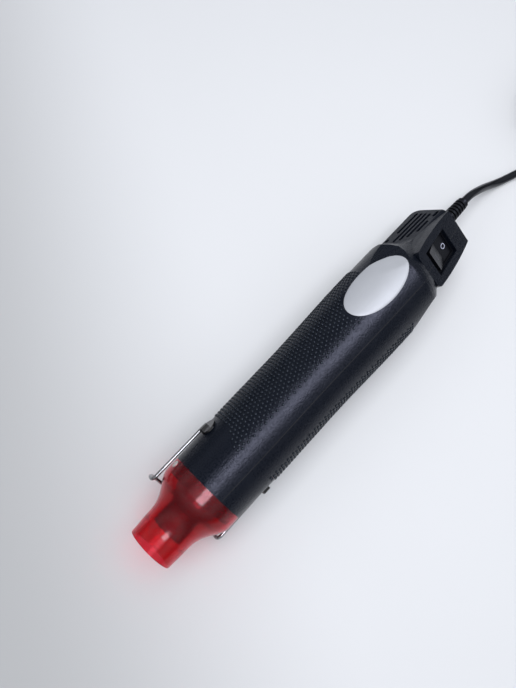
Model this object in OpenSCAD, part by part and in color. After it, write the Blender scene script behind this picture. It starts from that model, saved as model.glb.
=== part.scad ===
// Embossing heat tool: a slim hot-air tool for embossing powder and shrink film, with a red
// nozzle guard, a wire stand, scooped intake sides, a slanted rocker switch and a mains lead.
// The tool is drawn along X from the mouth of the guard at x = 0, with the switch side up and
// the seam of the two half shells on y = 0. Module laid() then rolls it and sets it on the
// table, with the middle of its outline over the origin. The lead is drawn on the table.

/* [Guard] */
// Length of the guard from its mouth to the housing
guard_l = 35; // [33:0.5:38]
// Outer diameter of the guard's mouth
mouth_d = 22.2; // [21:0.2:23]
// Wall of the guard
guard_wall = 1.5; // [1.2:0.1:1.7]
// Length of the straight collar behind the flare
collar_l = 6.5; // [6:0.5:7.5]

/* [Housing] */
// Length of the housing from the guard to the end with the lead
body_l = 177; // [172:1:184]
// Diameter of the housing where the guard meets it
front_d = 37.6; // [37:0.2:38.4]
// Diameter of the grip where it is widest
grip_d = 42; // [41.6:0.2:43.2]
// Length over which the housing widens to the grip diameter
taper_l = 119; // [112:1:120]
// Wall of the two half shells
wall = 2; // [1.7:0.1:2.3]

/* [Switch end] */
// Length of the flat switch panel along its slope
panel_l = 37.2; // [36:0.2:38]
// Width of the switch panel at its rear edge
panel_w = 19.7; // [19:0.1:20.4]
// Slope of the switch panel towards the lead, in degrees
panel_slope = 15.7; // [14:0.1:17]
// Height of the panel's rear edge over the axis
panel_rear_h = 7.2; // [6.8:0.2:8.2]
// Width of the tail between its two flat cheeks, on the axis
cheek_w = 23.6; // [23:0.2:24.4]
// Lean of the cheeks, in degrees, which makes the tail wider below
cheek_lean = 9.6; // [8:0.2:11]
// Length of the cheeks on the axis, up to the hollow in front of them
cheek_l = 23; // [22:0.5:24]
// Rake of the front end of the cheeks, in degrees
cheek_rake = 31; // [26:1:34]
// Radius of the hollow that leads from the grip to each cheek
hollow_r = 11.6; // [10:0.2:12]
// Width of each long intake slot
slot_w = 1.7; // [1.2:0.1:1.9]
// Distance between the middles of two slots
slot_pitch = 3.05; // [2.8:0.05:3.2]

/* [Stand] */
// Diameter of the steel rod
rod_d = 1.6; // [1.4:0.1:1.8]
// Length of the arms from the pivot to the bow
stand_l = 32.1; // [31:0.1:34]
// Distance of the pivot behind the guard
pivot_back = 18.5; // [17.5:0.5:20]
// Distance of each arm from the axis
arm_y = 21.3; // [21.1:0.1:21.8]
// Diameter of the bush flanges
bush_d = 7.6; // [7:0.2:8.4]

/* [Heater] */
// Diameter of the steel heater tube
tube_d = 25; // [24:0.2:25.4]
// Diameter of the steel outlet
outlet_d = 15.6; // [15:0.2:16.4]
// Distance of the outlet behind the guard's mouth
outlet_x = 10; // [9.5:0.5:12]
// Wall of the heater tube
tube_wall = 0.6; // [0.5:0.1:0.8]
// Diameter of the heater wire
wire_d = 0.9; // [0.7:0.1:1]
// Turns of the heater wire
heater_turns = 12; // [10:1:13]

/* [Fan and motor] */
// Diameter of the fan
fan_d = 31.2; // [30:0.2:31.6]
// Number of fan blades
blade_n = 9; // [7:1:11]
// Diameter of the motor can
motor_d = 27.6; // [26:0.2:28]
// Length of the motor can
motor_l = 32; // [29:0.5:33]
// Diameter of the motor shaft
shaft_d = 2.3; // [2:0.1:3]
// Distance of the rectifier board from the rear end of the housing
board_back = 53.4; // [52.8:0.2:56]

/* [Rocker switch] */
// Length of the switch opening in the panel
opening_l = 20; // [19.6:0.2:20.6]
// Width of the switch opening
opening_w = 13.8; // [13.4:0.1:14.2]
// Angle between the off and on positions of the rocker
rocker_throw = 14; // [10:1:16]
// Depth of the switch case
case_depth = 13; // [12:0.5:14]

/* [Lead] */
// Diameter of the mains lead
lead_d = 4.2; // [4:0.1:4.4]
// Length of the strain relief outside the housing
relief_l = 22.6; // [20:0.2:26]
// Distance of the lead below the axis of the tool
lead_drop = 8; // [7.4:0.2:8.4]
// Turns of the coiled lead
coil_turns = 8.125; // [7.125:1:9.125]
// Thickness of the ties round the coil
tie_t = 0.8; // [0.6:0.1:1]

/* [Plug] */
// Diameter of the plug pins
pin_d = 4; // [4:0.1:4.8]
// Length of the plug pins
pin_l = 19; // [18:0.5:20]
// Distance between the plug pins
pin_gap = 18.6; // [17.5:0.1:19]
// Width of the plug across its face
plug_w = 35.3; // [34:0.1:36]
// Thickness of the plug
plug_t = 13.7; // [13:0.1:15]

/* [Hidden] */

// Clearances: slack between fitted pieces, seat between pieces that only rest together
slack = 0.05;
seat = 0.2;
big = 120;

black = [0.07, 0.08, 0.1];
dark = [0.12, 0.13, 0.15];
steel = [0.72, 0.73, 0.75];
mica = [0.78, 0.66, 0.42];
red = [0.8, 0.08, 0.12, 0.75];
copper = [0.72, 0.42, 0.22];

// Stations along the tool
body_x0 = guard_l;
body_x1 = guard_l + body_l;
grip_r = grip_d/2;
front_r = front_d/2;
collar_x = guard_l - collar_l;
spigot_x = collar_x + 0.5;
spigot_r = front_r - guard_wall - 0.1 - slack;
spigot_wall = 1.6;
guard_screw_x = collar_x + 4.2;
tail_round = 4;

// Barrel radius at x: a first swell behind the guard, a long waist, then the grip's swell
function ease(t) = (1 - cos(180*min(1, max(0, t))))/2;
function taper(u) = 0.36*ease(u/0.26) + 0.64*ease((u - 0.48)/0.52);
function body_r(x) =
    x <= body_x0 ? front_r :
    x >= body_x0 + taper_l ? grip_r :
    front_r + (grip_r - front_r)*taper((x - body_x0)/taper_l);
function cavity_r(x) = body_r(x) - wall;

// Switch end
panel_w2 = panel_w/2;
panel_x1 = body_x1;
panel_x0 = panel_x1 - panel_l*cos(panel_slope);
panel_h0 = panel_rear_h + panel_l*sin(panel_slope);
function panel_h(x) = panel_rear_h + (panel_x1 - x)*tan(panel_slope);
cheek_x = body_x1 - cheek_l;
neck_x = body_x1 - 44;
neck_l = 22;
neck_drop = 2;
neck_r = cheek_w/2 + 0.7;
side_x = body_x1 - 30;
side_r = 120;
side_turn = 31;
side_deep = 18.4;

// Stand
pivot_x = body_x0 + pivot_back;
bow_x = pivot_x - stand_l;
bow_bend = 2.5;
elbow_r = 1.2;
roll = 30;
// Radius of the bow's corners, which lets the bow touch the table level with the grip
bow_r = round(50*(grip_r - rod_d/2 - arm_y*sin(roll) - bow_bend*cos(roll))/(1 - sin(roll)))/50;
bow_y = arm_y - bow_r;
bush_face = arm_y - rod_d/2 - 0.3;
neck_bush_r = 2.4;
rod_pin_in = round(10*cavity_r(pivot_x) - 16)/10;

// Tool on the table
relief_x1 = body_x1 + relief_l;
bow_reach = bow_y*cos(roll) + bow_bend*sin(roll) + bow_r + rod_d/2;
shift_x = relief_x1/2;
shift_y = (bow_reach - grip_r)/2;
exit_pos = [relief_x1 - shift_x, lead_drop*sin(roll) - shift_y, grip_r - lead_drop*cos(roll)];

// Air side, counted forward from the board
rib_t = 1.4;
board_x = body_x1 - board_back;
board_t = 1.6;
board_r = 12;
cap_l = 4;
motor_x1 = board_x - cap_l - 2.5;
motor_x = motor_x1 - motor_l;
motor_r = motor_d/2;
shaft_r = shaft_d/2;
armature_r = motor_r - 4.2;
mount_l = 2;
mount_x = motor_x - mount_l - slack;
duct_l = 30.35;
duct_wall = 1.2;
duct_x1 = mount_x - rib_t - slack - seat;
duct_x = duct_x1 - duct_l;
duct_flange_x = duct_x + 18;
fan_r = fan_d/2;
fan_x = duct_x + 20;
fan_l = 9;
hub_r = 4.2;
duct_r = fan_r + 0.5 + duct_wall;

// Heater, in the room that is left in front of the duct
tube_r = tube_d/2;
tube_x0 = collar_x + 1.5;
tube_x1 = duct_x - slack;
cone_x = tube_x0 - 9;
flange_r = tube_r + 2.4;
former_half = tube_r - tube_wall - 0.9;
coil_r = former_half - 2.9;
heater_x0 = tube_x0 + 8;
heater_l = tube_x1 - 8 - heater_x0;
mica_t = 0.6;
spacer_x = body_x0 + 5;
spacer_l = 4;
shield_r = tube_r + 1.1;

// Switch, along the panel's slope: s from the panel's front edge, n out of the panel
opening_s = panel_l*0.425;
case_l = opening_l - 0.4;
case_w = opening_w - 0.4;
case_top = 1.7;
rocker_l = case_l - 2.4;
rocker_w = case_w - 2.4;
rocker_pivot = 4.6;
rocker_r = 6.2;

// Lead inside the relief
lead_r = lead_d/2;
lead_end_x = body_x1 - 9;
clamp_x = body_x1 - 8.4;
clamp_l = 3.6;

// Housing screws at [x, z], all in from the right half
screw_r = 1.3;
screw_head_r = 2.3;
screw_head_l = 1.8;
screw_seat = -4.2;
screw_tip = 6;
post_r = screw_head_r + 1.1;
screw_spots = [[motor_x + 10, -motor_r - post_r - 0.3], [neck_x, -14.2], [body_x1 - 22, -14.6]];

// Lead on the table: steps [along, across] from the relief to the coil, and its height
lead_lift = tie_t + 0.1;
coil_pitch = lead_d + 0.42;
coil_out = 27.3;
coil_start = -120;
coil_layers = 4;
layer_turns = coil_turns/coil_layers;
run_steps = [[0, 0], [6, -0.2], [12, -1], [20, -2.3], [27, -3.9], [34, -6], [41, -8.4],
             [48, -10.8], [55, -13.9], [62, -17.6], [69, -21.6], [76, -25.7], [83, -29.8], [90, -33.9]];
fall_l = 37;
climb_x = 53;
function run_z(x) = lead_r + (exit_pos[2] - lead_r)*(1 - ease((x - 1.7)/fall_l)) +
    lead_lift*ease((x - climb_x)/22);
run_route = [for (p = run_steps) [exit_pos[0] + p[0], exit_pos[1] + p[1], run_z(p[0])]];
run_end = run_route[len(run_steps) - 1];
coil_c = [run_end[0] - coil_out*cos(coil_start), run_end[1] - coil_out*sin(coil_start)];
plug_face = 36;

// Points and sweeps
function unit(v) = v/norm(v);
function along(p, i) =
    unit(p[min(i + 1, len(p) - 1)] - p[max(i - 1, 0)]);
function ring(p, t, r, n, up) =
    let (side = unit(cross(t, up)), top = cross(side, t))
    [for (k = [0:n - 1]) p + r*(side*cos(360*k/n) + top*sin(360*k/n))];

// One closed tube of n sides along the points p
module tube(p, r, n, up = [0, 0, 1]) {
    m = len(p);
    rings = [for (i = [0:m - 1]) each ring(p[i], along(p, i), r, n, up)];
    walls = [for (i = [0:m - 2]) for (k = [0:n - 1])
        let (a = i*n + k, b = i*n + (k + 1)%n)
        each [[a, a + n, b], [b, a + n, b + n]]];
    caps = [for (k = [1:n - 2]) each [[0, k, k + 1],
        [(m - 1)*n, (m - 1)*n + k + 1, (m - 1)*n + k]]];
    polyhedron(rings, concat(walls, caps));
}

// A profile of [radius, x] points turned round the axis of the tool
module turned(profile) {
    rotate([0, 90, 0]) rotate_extrude($fn = 96) polygon(profile);
}

// A round bar or bore along X from x0 to x1
module bar(x0, x1, r) {
    translate([x0, 0, 0]) rotate([0, 90, 0]) cylinder(r = r, h = x1 - x0, $fn = 48);
}

// A washer or pipe along X
module pipe(x0, x1, r_out, r_in) {
    difference() {
        bar(x0, x1, r_out);
        bar(x0 - 1, x1 + 1, r_in);
    }
}

// A round bar along Y from y0 to y1
module cross_bar(y0, y1, r) {
    translate([0, y0, 0]) rotate([-90, 0, 0]) cylinder(r = r, h = y1 - y0, $fn = 48);
}

// The tool's place on the table
module laid() {
    translate([-shift_x, -shift_y, grip_r]) rotate([roll, 0, 0]) children();
}

// The switch panel's own frame: x along the slope from its front edge, z out of the panel
module on_panel() {
    translate([panel_x0, 0, panel_h0]) rotate([0, panel_slope, 0]) children();
}

// Profile of the barrel, set in by o
function barrel(o) = concat(
    [[0, body_x0 - (o > 0 ? 1 : 0)]],
    [for (i = [0:16]) let (x = body_x0 + taper_l*i/16) [body_r(x) - o, x - (o > 0 && i == 0 ? 1 : 0)]],
    [for (a = [0:15:90]) [grip_r - tail_round + (tail_round - o*0.6)*cos(a) - o*0.4,
                          body_x1 - tail_round + (tail_round - o)*sin(a)]],
    [[0, body_x1 - o]]);

// Neck radius at x, about a line neck_drop below the axis
function neck_wave(x) =
    neck_r + (grip_r + neck_drop - neck_r)*(1 - ease((x - neck_x)/neck_l));

// Frame of the left cheek: x along the tool, y out of the cheek, z up along it
module on_cheek() {
    translate([0, cheek_w/2, 0]) rotate([cheek_lean, 0, 0]) children();
}

// As drawn for side 1, mirrored for side -1
module on_side(side) {
    if (side > 0) children();
    if (side < 0) mirror([0, 1, 0]) children();
}

module cheek_cut(o) {
    on_cheek() translate([cheek_x, 0, 0]) rotate([0, cheek_rake, 0]) {
        translate([0, -o, -big]) cube([big, big, 2*big]);
        translate([0, hollow_r, 0])
            cylinder(r = hollow_r + o, h = big, center = true, $fn = 120);
    }
}

// Long shallow hollow on each side between the grip and the switch panel
module side_cut(o) {
    translate([side_x, 0, 0]) rotate([side_turn, 0, 0]) translate([0, side_deep + side_r, 0])
        cylinder(r = side_r + o, h = big, center = true, $fn = 180);
}

// Cuts the barrel down to the neck, above the neck's own middle line
module neck_cut(o) {
    steps = 12;
    profile = concat(
        [for (i = [0:steps]) let (x = neck_x + neck_l*i/steps) [neck_wave(x) - o, x]],
        [[neck_r - o, body_x1 + 1], [grip_r + 5, body_x1 + 1], [grip_r + 5, neck_x]]);
    translate([0, 0, -neck_drop]) intersection() {
        turned(profile);
        translate([neck_x - 1, -big/2, 0]) cube([big, big, big/2]);
    }
}

// Barrel with its cheeks, side hollows and neck, set in by o
module necked_barrel(o) {
    difference() {
        turned(barrel(o));
        for (side = [-1, 1]) on_side(side) {
            cheek_cut(o);
            side_cut(o);
        }
        neck_cut(o);
    }
}

// Outline of the switch panel in its own plane: bowed sides and round front corners
module panel_outline() {
    corner = 4.5;
    bow_s = panel_l*0.43;
    bow_out = 1.4;
    bow_rad = pow(panel_l - bow_s, 2)/(2*bow_out);
    half = panel_w2 + bow_out;
    intersection() {
        translate([bow_s, half - bow_rad]) circle(r = bow_rad, $fn = 360);
        translate([bow_s, bow_rad - half]) circle(r = bow_rad, $fn = 360);
        union() {
            translate([corner, -half]) square([panel_l, 2*half]);
            translate([0, corner - half]) square([corner, 2*half - 2*corner]);
            for (y = [-1, 1]) translate([corner, y*(half - corner)]) circle(r = corner, $fn = 64);
        }
    }
}

// The tail end's round bar, which the blocks under the panel stay inside
module tail_bar(o) {
    turned([[0, neck_x], [grip_r - o, neck_x], [grip_r - o, body_x1 - o], [0, body_x1 - o]]);
}

// Outside of the housing: the block under the panel, and a rounded step at its front
block_deep = 14;
module housing_form() {
    fillet = 1.2;
    difference() {
        union() {
            necked_barrel(0);
            intersection() {
                on_panel() translate([0, 0, -block_deep]) linear_extrude(height = block_deep)
                    panel_outline();
                tail_bar(0);
            }
        }
        on_panel() rotate([90, 0, 0]) linear_extrude(height = big, center = true)
            polygon(concat([[big, 0], [0, 0]],
                [for (a = [15:15:75]) [-fillet*sin(a), fillet*(1 - cos(a))]],
                [[-fillet, fillet], [-fillet, big], [big, big]]));
    }
}

// Inside of the housing, a wall of o inside its outside
module cavity_form(o) {
    difference() {
        union() {
            necked_barrel(o);
            intersection() {
                on_panel() translate([4.5, o - panel_w2, -block_deep])
                    cube([panel_l, panel_w - 2*o, block_deep - o]);
                tail_bar(o);
            }
        }
        on_panel() translate([-3, -big/2, -o]) cube([big, big, big]);
    }
}

// Inner rib of the shells, a ring from the wall in to radius r
module rib(x, r) {
    difference() {
        bar(x, x + rib_t, cavity_r(x) + wall/2);
        bar(x - 1, x + rib_t + 1, r);
    }
}

// Intake slots of a cheek: five long ones, given by how far before the housing's end they
// start and end, a short one in front and a wider one behind
slot_rows = [[19.1, 2.6], [26, 2.7], [24.2, 2.8], [21.8, 2.9], [17.4, 8.6]];
slot_tilt = 2.4;
module slot(x0, x1, z, w) {
    deep = wall + 0.6;
    translate([(x0 + x1)/2, -deep, z]) rotate([0, -slot_tilt, 0]) {
        translate([(x0 - x1 + w)/2, 0, -w/2]) cube([x1 - x0 - w, 2*deep, w]);
        for (end = [-1, 1])
            translate([end*(x1 - x0 - w)/2, 0, 0]) rotate([-90, 0, 0])
                cylinder(r = w/2, h = 2*deep, $fn = 24);
    }
}
module slots() {
    for (i = [0:4])
        slot(body_x1 - slot_rows[i][0], body_x1 - slot_rows[i][1], -5.1 + (i - 2)*slot_pitch, slot_w);
    slot(body_x1 - 26.4, body_x1 - 23.8, -13.6, slot_w);
    slot(body_x1 - 5.4, body_x1 - 1.2, 2, 2);
}

// Both shells as one: outer form, cavity, spigot and ribs, before the cuts
module housing_hull() {
    difference() {
        union() {
            housing_form();
            bar(spigot_x, body_x0 + 1, spigot_r);
        }
        difference() {
            union() {
                cavity_form(wall);
                bar(spigot_x - 1, body_x0 + wall, spigot_r - spigot_wall);
            }
            rib(spacer_x - rib_t - slack, tube_r + 2.4);
            rib(spacer_x + spacer_l + slack, tube_r + 2.4);
            rib(duct_flange_x - rib_t - slack, duct_r + seat);
            rib(duct_flange_x + 1.4 + slack, duct_r + seat);
            rib(mount_x - rib_t - slack, motor_r + 2.6);
            rib(mount_x + mount_l + slack, motor_r + 2.6);
            for (a = [45:90:315])
                rotate([a, 0, 0]) translate([motor_x + 18, -0.8, motor_r + seat])
                    cube([8, 1.6, cavity_r(motor_x) + 1 - motor_r - seat]);
        }
    }
}

module switch_opening() {
    on_panel() translate([opening_s - opening_l/2, -opening_w/2, -wall - 4])
        cube([opening_l, opening_w, wall + 8]);
}

module screw_posts(side) {
    for (p = screw_spots)
        intersection() {
            translate([p[0], 0, p[1]])
                cross_bar(side > 0 ? 0 : -grip_r, side > 0 ? grip_r : 0,
                          side > 0 ? screw_r + 1.4 : post_r);
            cavity_form(wall - 0.4);
        }
}

// The right half of the hull, which the left half mirrors
module half_hull() {
    intersection() {
        housing_hull();
        translate([-1, -big, -big/2]) cube([body_x1 + 10, big, big]);
    }
}

// One half shell; side is 1 for the left half and -1 for the right half
module shell(side) {
    difference() {
        union() {
            on_side(-side) half_hull();
            screw_posts(side);
            if (side < 0) clamp_posts();
        }
        for (p = screw_spots)
            translate([p[0], 0, p[1]]) {
                if (side > 0) cross_bar(-1, screw_tip + 0.5, screw_r + slack);
                if (side < 0) {
                    cross_bar(-grip_r, 1, screw_r + slack);
                    cross_bar(-grip_r - 1, screw_seat, screw_head_r + slack);
                }
            }
        on_side(side) on_cheek() slots();
        switch_opening();
        on_side(side) translate([pivot_x, 0, 0]) cross_bar(10, grip_r + 4, neck_bush_r + slack);
        on_side(side) translate([guard_screw_x, 0, 0]) cross_bar(10, grip_r, 0.9 + slack);
        translate([0, 0, -lead_drop]) bar(body_x1 - wall - 1, body_x1 + 1, relief_neck_r + slack);
        if (side < 0) clamp_holes();
    }
}

module housing_left() { color(black) shell(1); }
module housing_right() { color(dark) shell(-1); }

module housing_screws() {
    color(steel) for (p = screw_spots)
        translate([p[0], 0, p[1]]) {
            cross_bar(screw_seat - 0.5, screw_tip, screw_r);
            difference() {
                cross_bar(screw_seat - screw_head_l, screw_seat, screw_head_r);
                for (a = [0, 90]) rotate([0, a, 0])
                    translate([-1.4, screw_seat - screw_head_l - 1, -0.3]) cube([2.8, 2, 0.6]);
            }
        }
}

// Guard: a nearly straight mouth, an S-shaped flare and a collar over the spigot
flare_x0 = 8;
function flare(u) = (1 - cos(180*pow(u, 1.6)))/2;
flare_r0 = mouth_d/2 + 0.5;
flare_xs = [for (i = [0:14]) flare_x0 + (collar_x - flare_x0)*i/14];
function guard_r(x) = flare_r0 + (front_r - flare_r0)*flare((x - flare_x0)/(collar_x - flare_x0));
guard_bore = mouth_d/2 - guard_wall + 0.1;
module nozzle_guard() {
    outer = concat([[mouth_d/2, 0]], [for (x = flare_xs) [guard_r(x), x]], [[front_r, body_x0 - 0.02]]);
    inner = concat([[spigot_r + slack, body_x0 - 0.02], [spigot_r + slack, collar_x]],
                   [for (i = [13:-1:1])
                       [max(guard_bore, guard_r(flare_xs[i]) - guard_wall), flare_xs[i] - 0.1]],
                   [[guard_bore, flare_x0], [guard_bore, 0]]);
    color(red) difference() {
        turned(concat(outer, inner));
        for (side = [-1, 1]) translate([guard_screw_x, 0, 0]) {
            cross_bar(side > 0 ? 10 : -grip_r, side > 0 ? grip_r : -10, 1);
            cross_bar(side > 0 ? front_r - 0.8 : -grip_r, side > 0 ? grip_r : -front_r + 0.8, 1.8);
        }
    }
}

module guard_screws() {
    color(steel) for (side = [0, 180]) rotate([side, 0, 0]) translate([guard_screw_x, 0, 0]) {
        cross_bar(spigot_r - 2.2, front_r - 0.75, 0.9);
        difference() {
            cross_bar(front_r - 0.75, front_r + 0.15, 1.6);
            for (a = [0, 90]) rotate([0, a, 0])
                translate([-0.95, front_r - 0.25, -0.2]) cube([1.9, 1, 0.4]);
        }
    }
}

// Bushes that carry the stand; the lip above each arm is its stop when folded
module stand_bushes() {
    bush_r = bush_d/2;
    color([0.03, 0.03, 0.035]) for (side = [-1, 1]) on_side(side) translate([pivot_x, 0, 0])
    difference() {
        union() {
            cross_bar(rod_pin_in, bush_face, neck_bush_r);
            difference() {
                cross_bar(body_r(pivot_x) - 1.6, bush_face, bush_r);
                bar(-bush_d, bush_d, body_r(pivot_x + bush_r) + 0.05);
            }
            intersection() {
                translate([-bush_r, bush_face - 0.2, rod_d/2 + 0.15])
                    cube([bush_r + 0.5, rod_d + 0.8, 1.4]);
                cross_bar(bush_face - 1, arm_y + rod_d, bush_r);
            }
        }
        cross_bar(rod_pin_in - 1, bush_face + 1, rod_d/2 + slack);
    }
}

// Wire stand: two pins, elbows and arms, and a bow round the underside of the guard
module rod_arc(bend, a) {
    rotate_extrude(angle = a, $fn = 64) translate([bend, 0]) circle(r = rod_d/2, $fn = 48);
}
module stand_half() {
    translate([pivot_x, 0, 0]) cross_bar(rod_pin_in + 0.6, arm_y - elbow_r, rod_d/2);
    translate([pivot_x - elbow_r, arm_y - elbow_r, 0]) rod_arc(elbow_r, 90);
    translate([0, arm_y, 0]) bar(bow_x + bow_bend, pivot_x - elbow_r, rod_d/2);
    translate([bow_x + bow_bend, arm_y, -bow_bend]) rotate([90, 0, 0]) rotate([0, 0, 90])
        rod_arc(bow_bend, 90);
    translate([bow_x, bow_y, -bow_bend]) rotate([0, 90, 0]) rod_arc(bow_r, 90);
    translate([bow_x, 0, -bow_bend - bow_r]) cross_bar(0, bow_y, rod_d/2);
}
module wire_stand() {
    color(steel) union() {
        stand_half();
        mirror([0, 1, 0]) stand_half();
    }
}

// Steel heater tube with its necked outlet and rear flange
module heat_nozzle() {
    color([0.5, 0.5, 0.52]) turned([
        [outlet_d/2, outlet_x], [outlet_d/2, cone_x], [tube_r, tube_x0], [tube_r, tube_x1 - 1],
        [flange_r, tube_x1 - 1], [flange_r, tube_x1], [tube_r - tube_wall, tube_x1],
        [tube_r - tube_wall, tube_x0 + 0.2], [outlet_d/2 - tube_wall, cone_x + 0.2],
        [outlet_d/2 - tube_wall, outlet_x]]);
}

module mica_tube() {
    color(mica) pipe(tube_x0 + 0.6, tube_x1 - 1.5, tube_r - tube_wall - slack, tube_r - tube_wall - 0.55);
}

// Two crossed mica plates, wide at both ends and narrow under the winding
module mica_former() {
    end = 5;
    wide = former_half + 0.3;
    narrow = coil_r - wire_d/2 - 0.15;
    color(mica) for (a = [0, 90]) rotate([a, 0, 0]) difference() {
        translate([heater_x0 - end - 1, -wide, -mica_t/2]) cube([heater_l + 2*end + 2, 2*wide, mica_t]);
        if (a == 90)
            translate([heater_x0 - end - 2, -mica_t/2, -2]) cube([heater_l + 2*end + 4, mica_t, 4]);
        for (side = [-1, 1])
            translate([heater_x0 - 1, side > 0 ? narrow : -wide - 1, -2])
                cube([heater_l + 2, wide + 1 - narrow, 4]);
    }
}

// The winding: one wire round the former in an even spiral
heater_points = let (rings = heater_turns*24) [for (i = [0:rings])
    [heater_x0 + 1 + (heater_l - 2)*i/rings, coil_r*cos(15*i), coil_r*sin(15*i)]];
module heater_wire() {
    color(steel) tube(heater_points, wire_d/2, 6, [1, 0, 0]);
}

module thermal_cutout() {
    r = 1.6;
    place = mica_t/2 + r + 0.1;
    rear = heater_x0 + heater_l - 2;
    color(steel) translate([0, place, place]) union() {
        bar(rear - 14, rear - 4, r);
        bar(rear - 18, rear, 0.4);
    }
}

module front_spacer() {
    color([0.85, 0.83, 0.78])
        pipe(spacer_x, spacer_x + spacer_l, cavity_r(spacer_x) - seat, tube_r + slack);
}

module heat_shield() {
    color(mica) pipe(spacer_x + spacer_l + seat, tube_x1 - 1 - seat, shield_r, shield_r - 0.4);
}

// Funnel from the fan to the heater tube, with the flange that the shells hold
module air_duct() {
    mouth = tube_r - tube_wall;
    color([0.8, 0.8, 0.78]) turned([
        [mouth, duct_x], [flange_r, duct_x], [flange_r, duct_x + 3],
        [duct_r, duct_x + 12], [duct_r, duct_flange_x], [cavity_r(duct_flange_x) - seat, duct_flange_x],
        [cavity_r(duct_flange_x) - seat, duct_flange_x + 1.4], [duct_r, duct_flange_x + 1.4],
        [duct_r, duct_x1], [duct_r - duct_wall, duct_x1], [duct_r - duct_wall, duct_x + 12.5],
        [mouth, duct_x + 3]]);
}

module fan_impeller() {
    chord = fan_l - 1;
    color([0.9, 0.9, 0.88]) difference() {
        union() {
            bar(fan_x, fan_x + fan_l, hub_r);
            intersection() {
                for (i = [0:blade_n - 1])
                    rotate([360*i/blade_n, 0, 0]) translate([fan_x + fan_l/2, 0, 0])
                        rotate([0, 0, 38]) translate([-chord/2, -0.5, hub_r - 1])
                            cube([chord, 1, fan_r]);
                bar(fan_x + 0.3, fan_x + fan_l - 0.3, fan_r);
            }
        }
        bar(fan_x - 1, fan_x + fan_l + 1, shaft_r + 0.01);
    }
}

module motor_mount() {
    rim = cavity_r(mount_x) - seat;
    color(dark) difference() {
        union() {
            pipe(mount_x, mount_x + mount_l, rim, motor_r + 1.6);
            bar(mount_x, mount_x + mount_l, 10.5);
            for (a = [0:60:300])
                rotate([a, 0, 0]) translate([mount_x, -1.5, 9]) cube([mount_l, 3, motor_r - 6]);
        }
        bar(mount_x - 1, mount_x + mount_l + 1, 3.4);
        for (side = [-1, 1])
            translate([0, side*8, 0]) bar(mount_x - 1, mount_x + mount_l + 1, 1.25);
    }
}

module motor_screws() {
    color(steel) for (side = [-1, 1]) translate([0, side*8, 0]) {
        bar(mount_x - 1.2, mount_x - slack, 2.1);
        bar(mount_x - slack, motor_x + 1.6, 1.2);
    }
}

module motor_can() {
    color(steel) difference() {
        bar(motor_x, motor_x1, motor_r);
        bar(motor_x + 1, motor_x1 + 1, motor_r - 1);
        bar(motor_x - 1, motor_x + 2, shaft_r + 0.3);
        for (side = [-1, 1]) translate([0, side*8, 0]) bar(motor_x - 1, motor_x + 2, 1.25);
    }
}

module motor_magnets() {
    color([0.25, 0.25, 0.27]) for (side = [-1, 1]) intersection() {
        pipe(motor_x + 5, motor_x1 - 3, motor_r - 1 - slack, armature_r + 0.5);
        translate([0, -motor_r*0.72, side > 0 ? 4 : -20]) cube([big*2, motor_r*1.44, 16]);
    }
}

module motor_armature() {
    color(copper) difference() {
        union() {
            bar(motor_x + 6, motor_x1 - 5, armature_r);
            bar(motor_x1 - 5, motor_x1 - 1, 4);
        }
        bar(motor_x, motor_x1 + 1, shaft_r + 0.01);
        for (a = [0:72:288])
            rotate([a, 0, 0]) translate([motor_x + 5, -0.9, armature_r - 4]) cube([motor_l - 10, 1.8, 5]);
    }
}

module motor_shaft() {
    color(steel) bar(fan_x - 0.5, motor_x1 + cap_l - 1, shaft_r);
}

module motor_cap() {
    color([0.9, 0.9, 0.88]) difference() {
        union() {
            bar(motor_x1 + slack, motor_x1 + cap_l, motor_r - 0.2);
            bar(motor_x1 - 0.8, motor_x1 + 1, motor_r - 1 - slack);
        }
        bar(motor_x1 - 2, motor_x1 + cap_l - 0.8, shaft_r + slack);
        for (side = [-1, 1])
            translate([0, side*8, 0]) bar(motor_x1 - 2, board_x, 0.6 + slack);
    }
    color(copper) for (side = [-1, 1])
        translate([0, side*8, 0]) bar(motor_x1 + 1, board_x + board_t + 1, 0.6);
}

module rectifier_board() {
    color([0.75, 0.6, 0.3]) difference() {
        bar(board_x, board_x + board_t, board_r);
        for (side = [-1, 1])
            translate([0, side*8, 0]) bar(board_x - 1, board_x + board_t + 1, 0.6 + slack);
    }
}

module diodes() {
    color(black) for (i = [0:3])
        translate([board_x + board_t + 1.4 + slack, 0, -7.4 + 3.8*i]) cross_bar(-3, 3, 1.4);
}

module capacitor() {
    color([0.75, 0.45, 0.1]) translate([board_x + board_t + slack, -4.5, 6.4]) cube([7.5, 9, 4]);
}

// Rocker switch: a case behind the opening, hollow above for the rocker
module switch_case() {
    color([0.05, 0.05, 0.055]) on_panel() translate([opening_s, 0, -case_top]) difference() {
        translate([-case_l/2, -case_w/2, -case_depth]) cube([case_l, case_w, case_depth]);
        translate([-rocker_l/2 - 0.3, -rocker_w/2 - 0.3, -rocker_pivot - rocker_r - 0.4])
            cube([rocker_l + 0.6, rocker_w + 0.6, case_depth]);
        for (s = [-4.5, 4.5])
            translate([s - 0.45, -3.2, -case_depth - 1]) cube([0.9, 6.4, 3]);
        translate([0, 0, -rocker_pivot]) cross_bar(-case_w/2 - 1, case_w/2 + 1, 1 + slack);
    }
}

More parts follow.
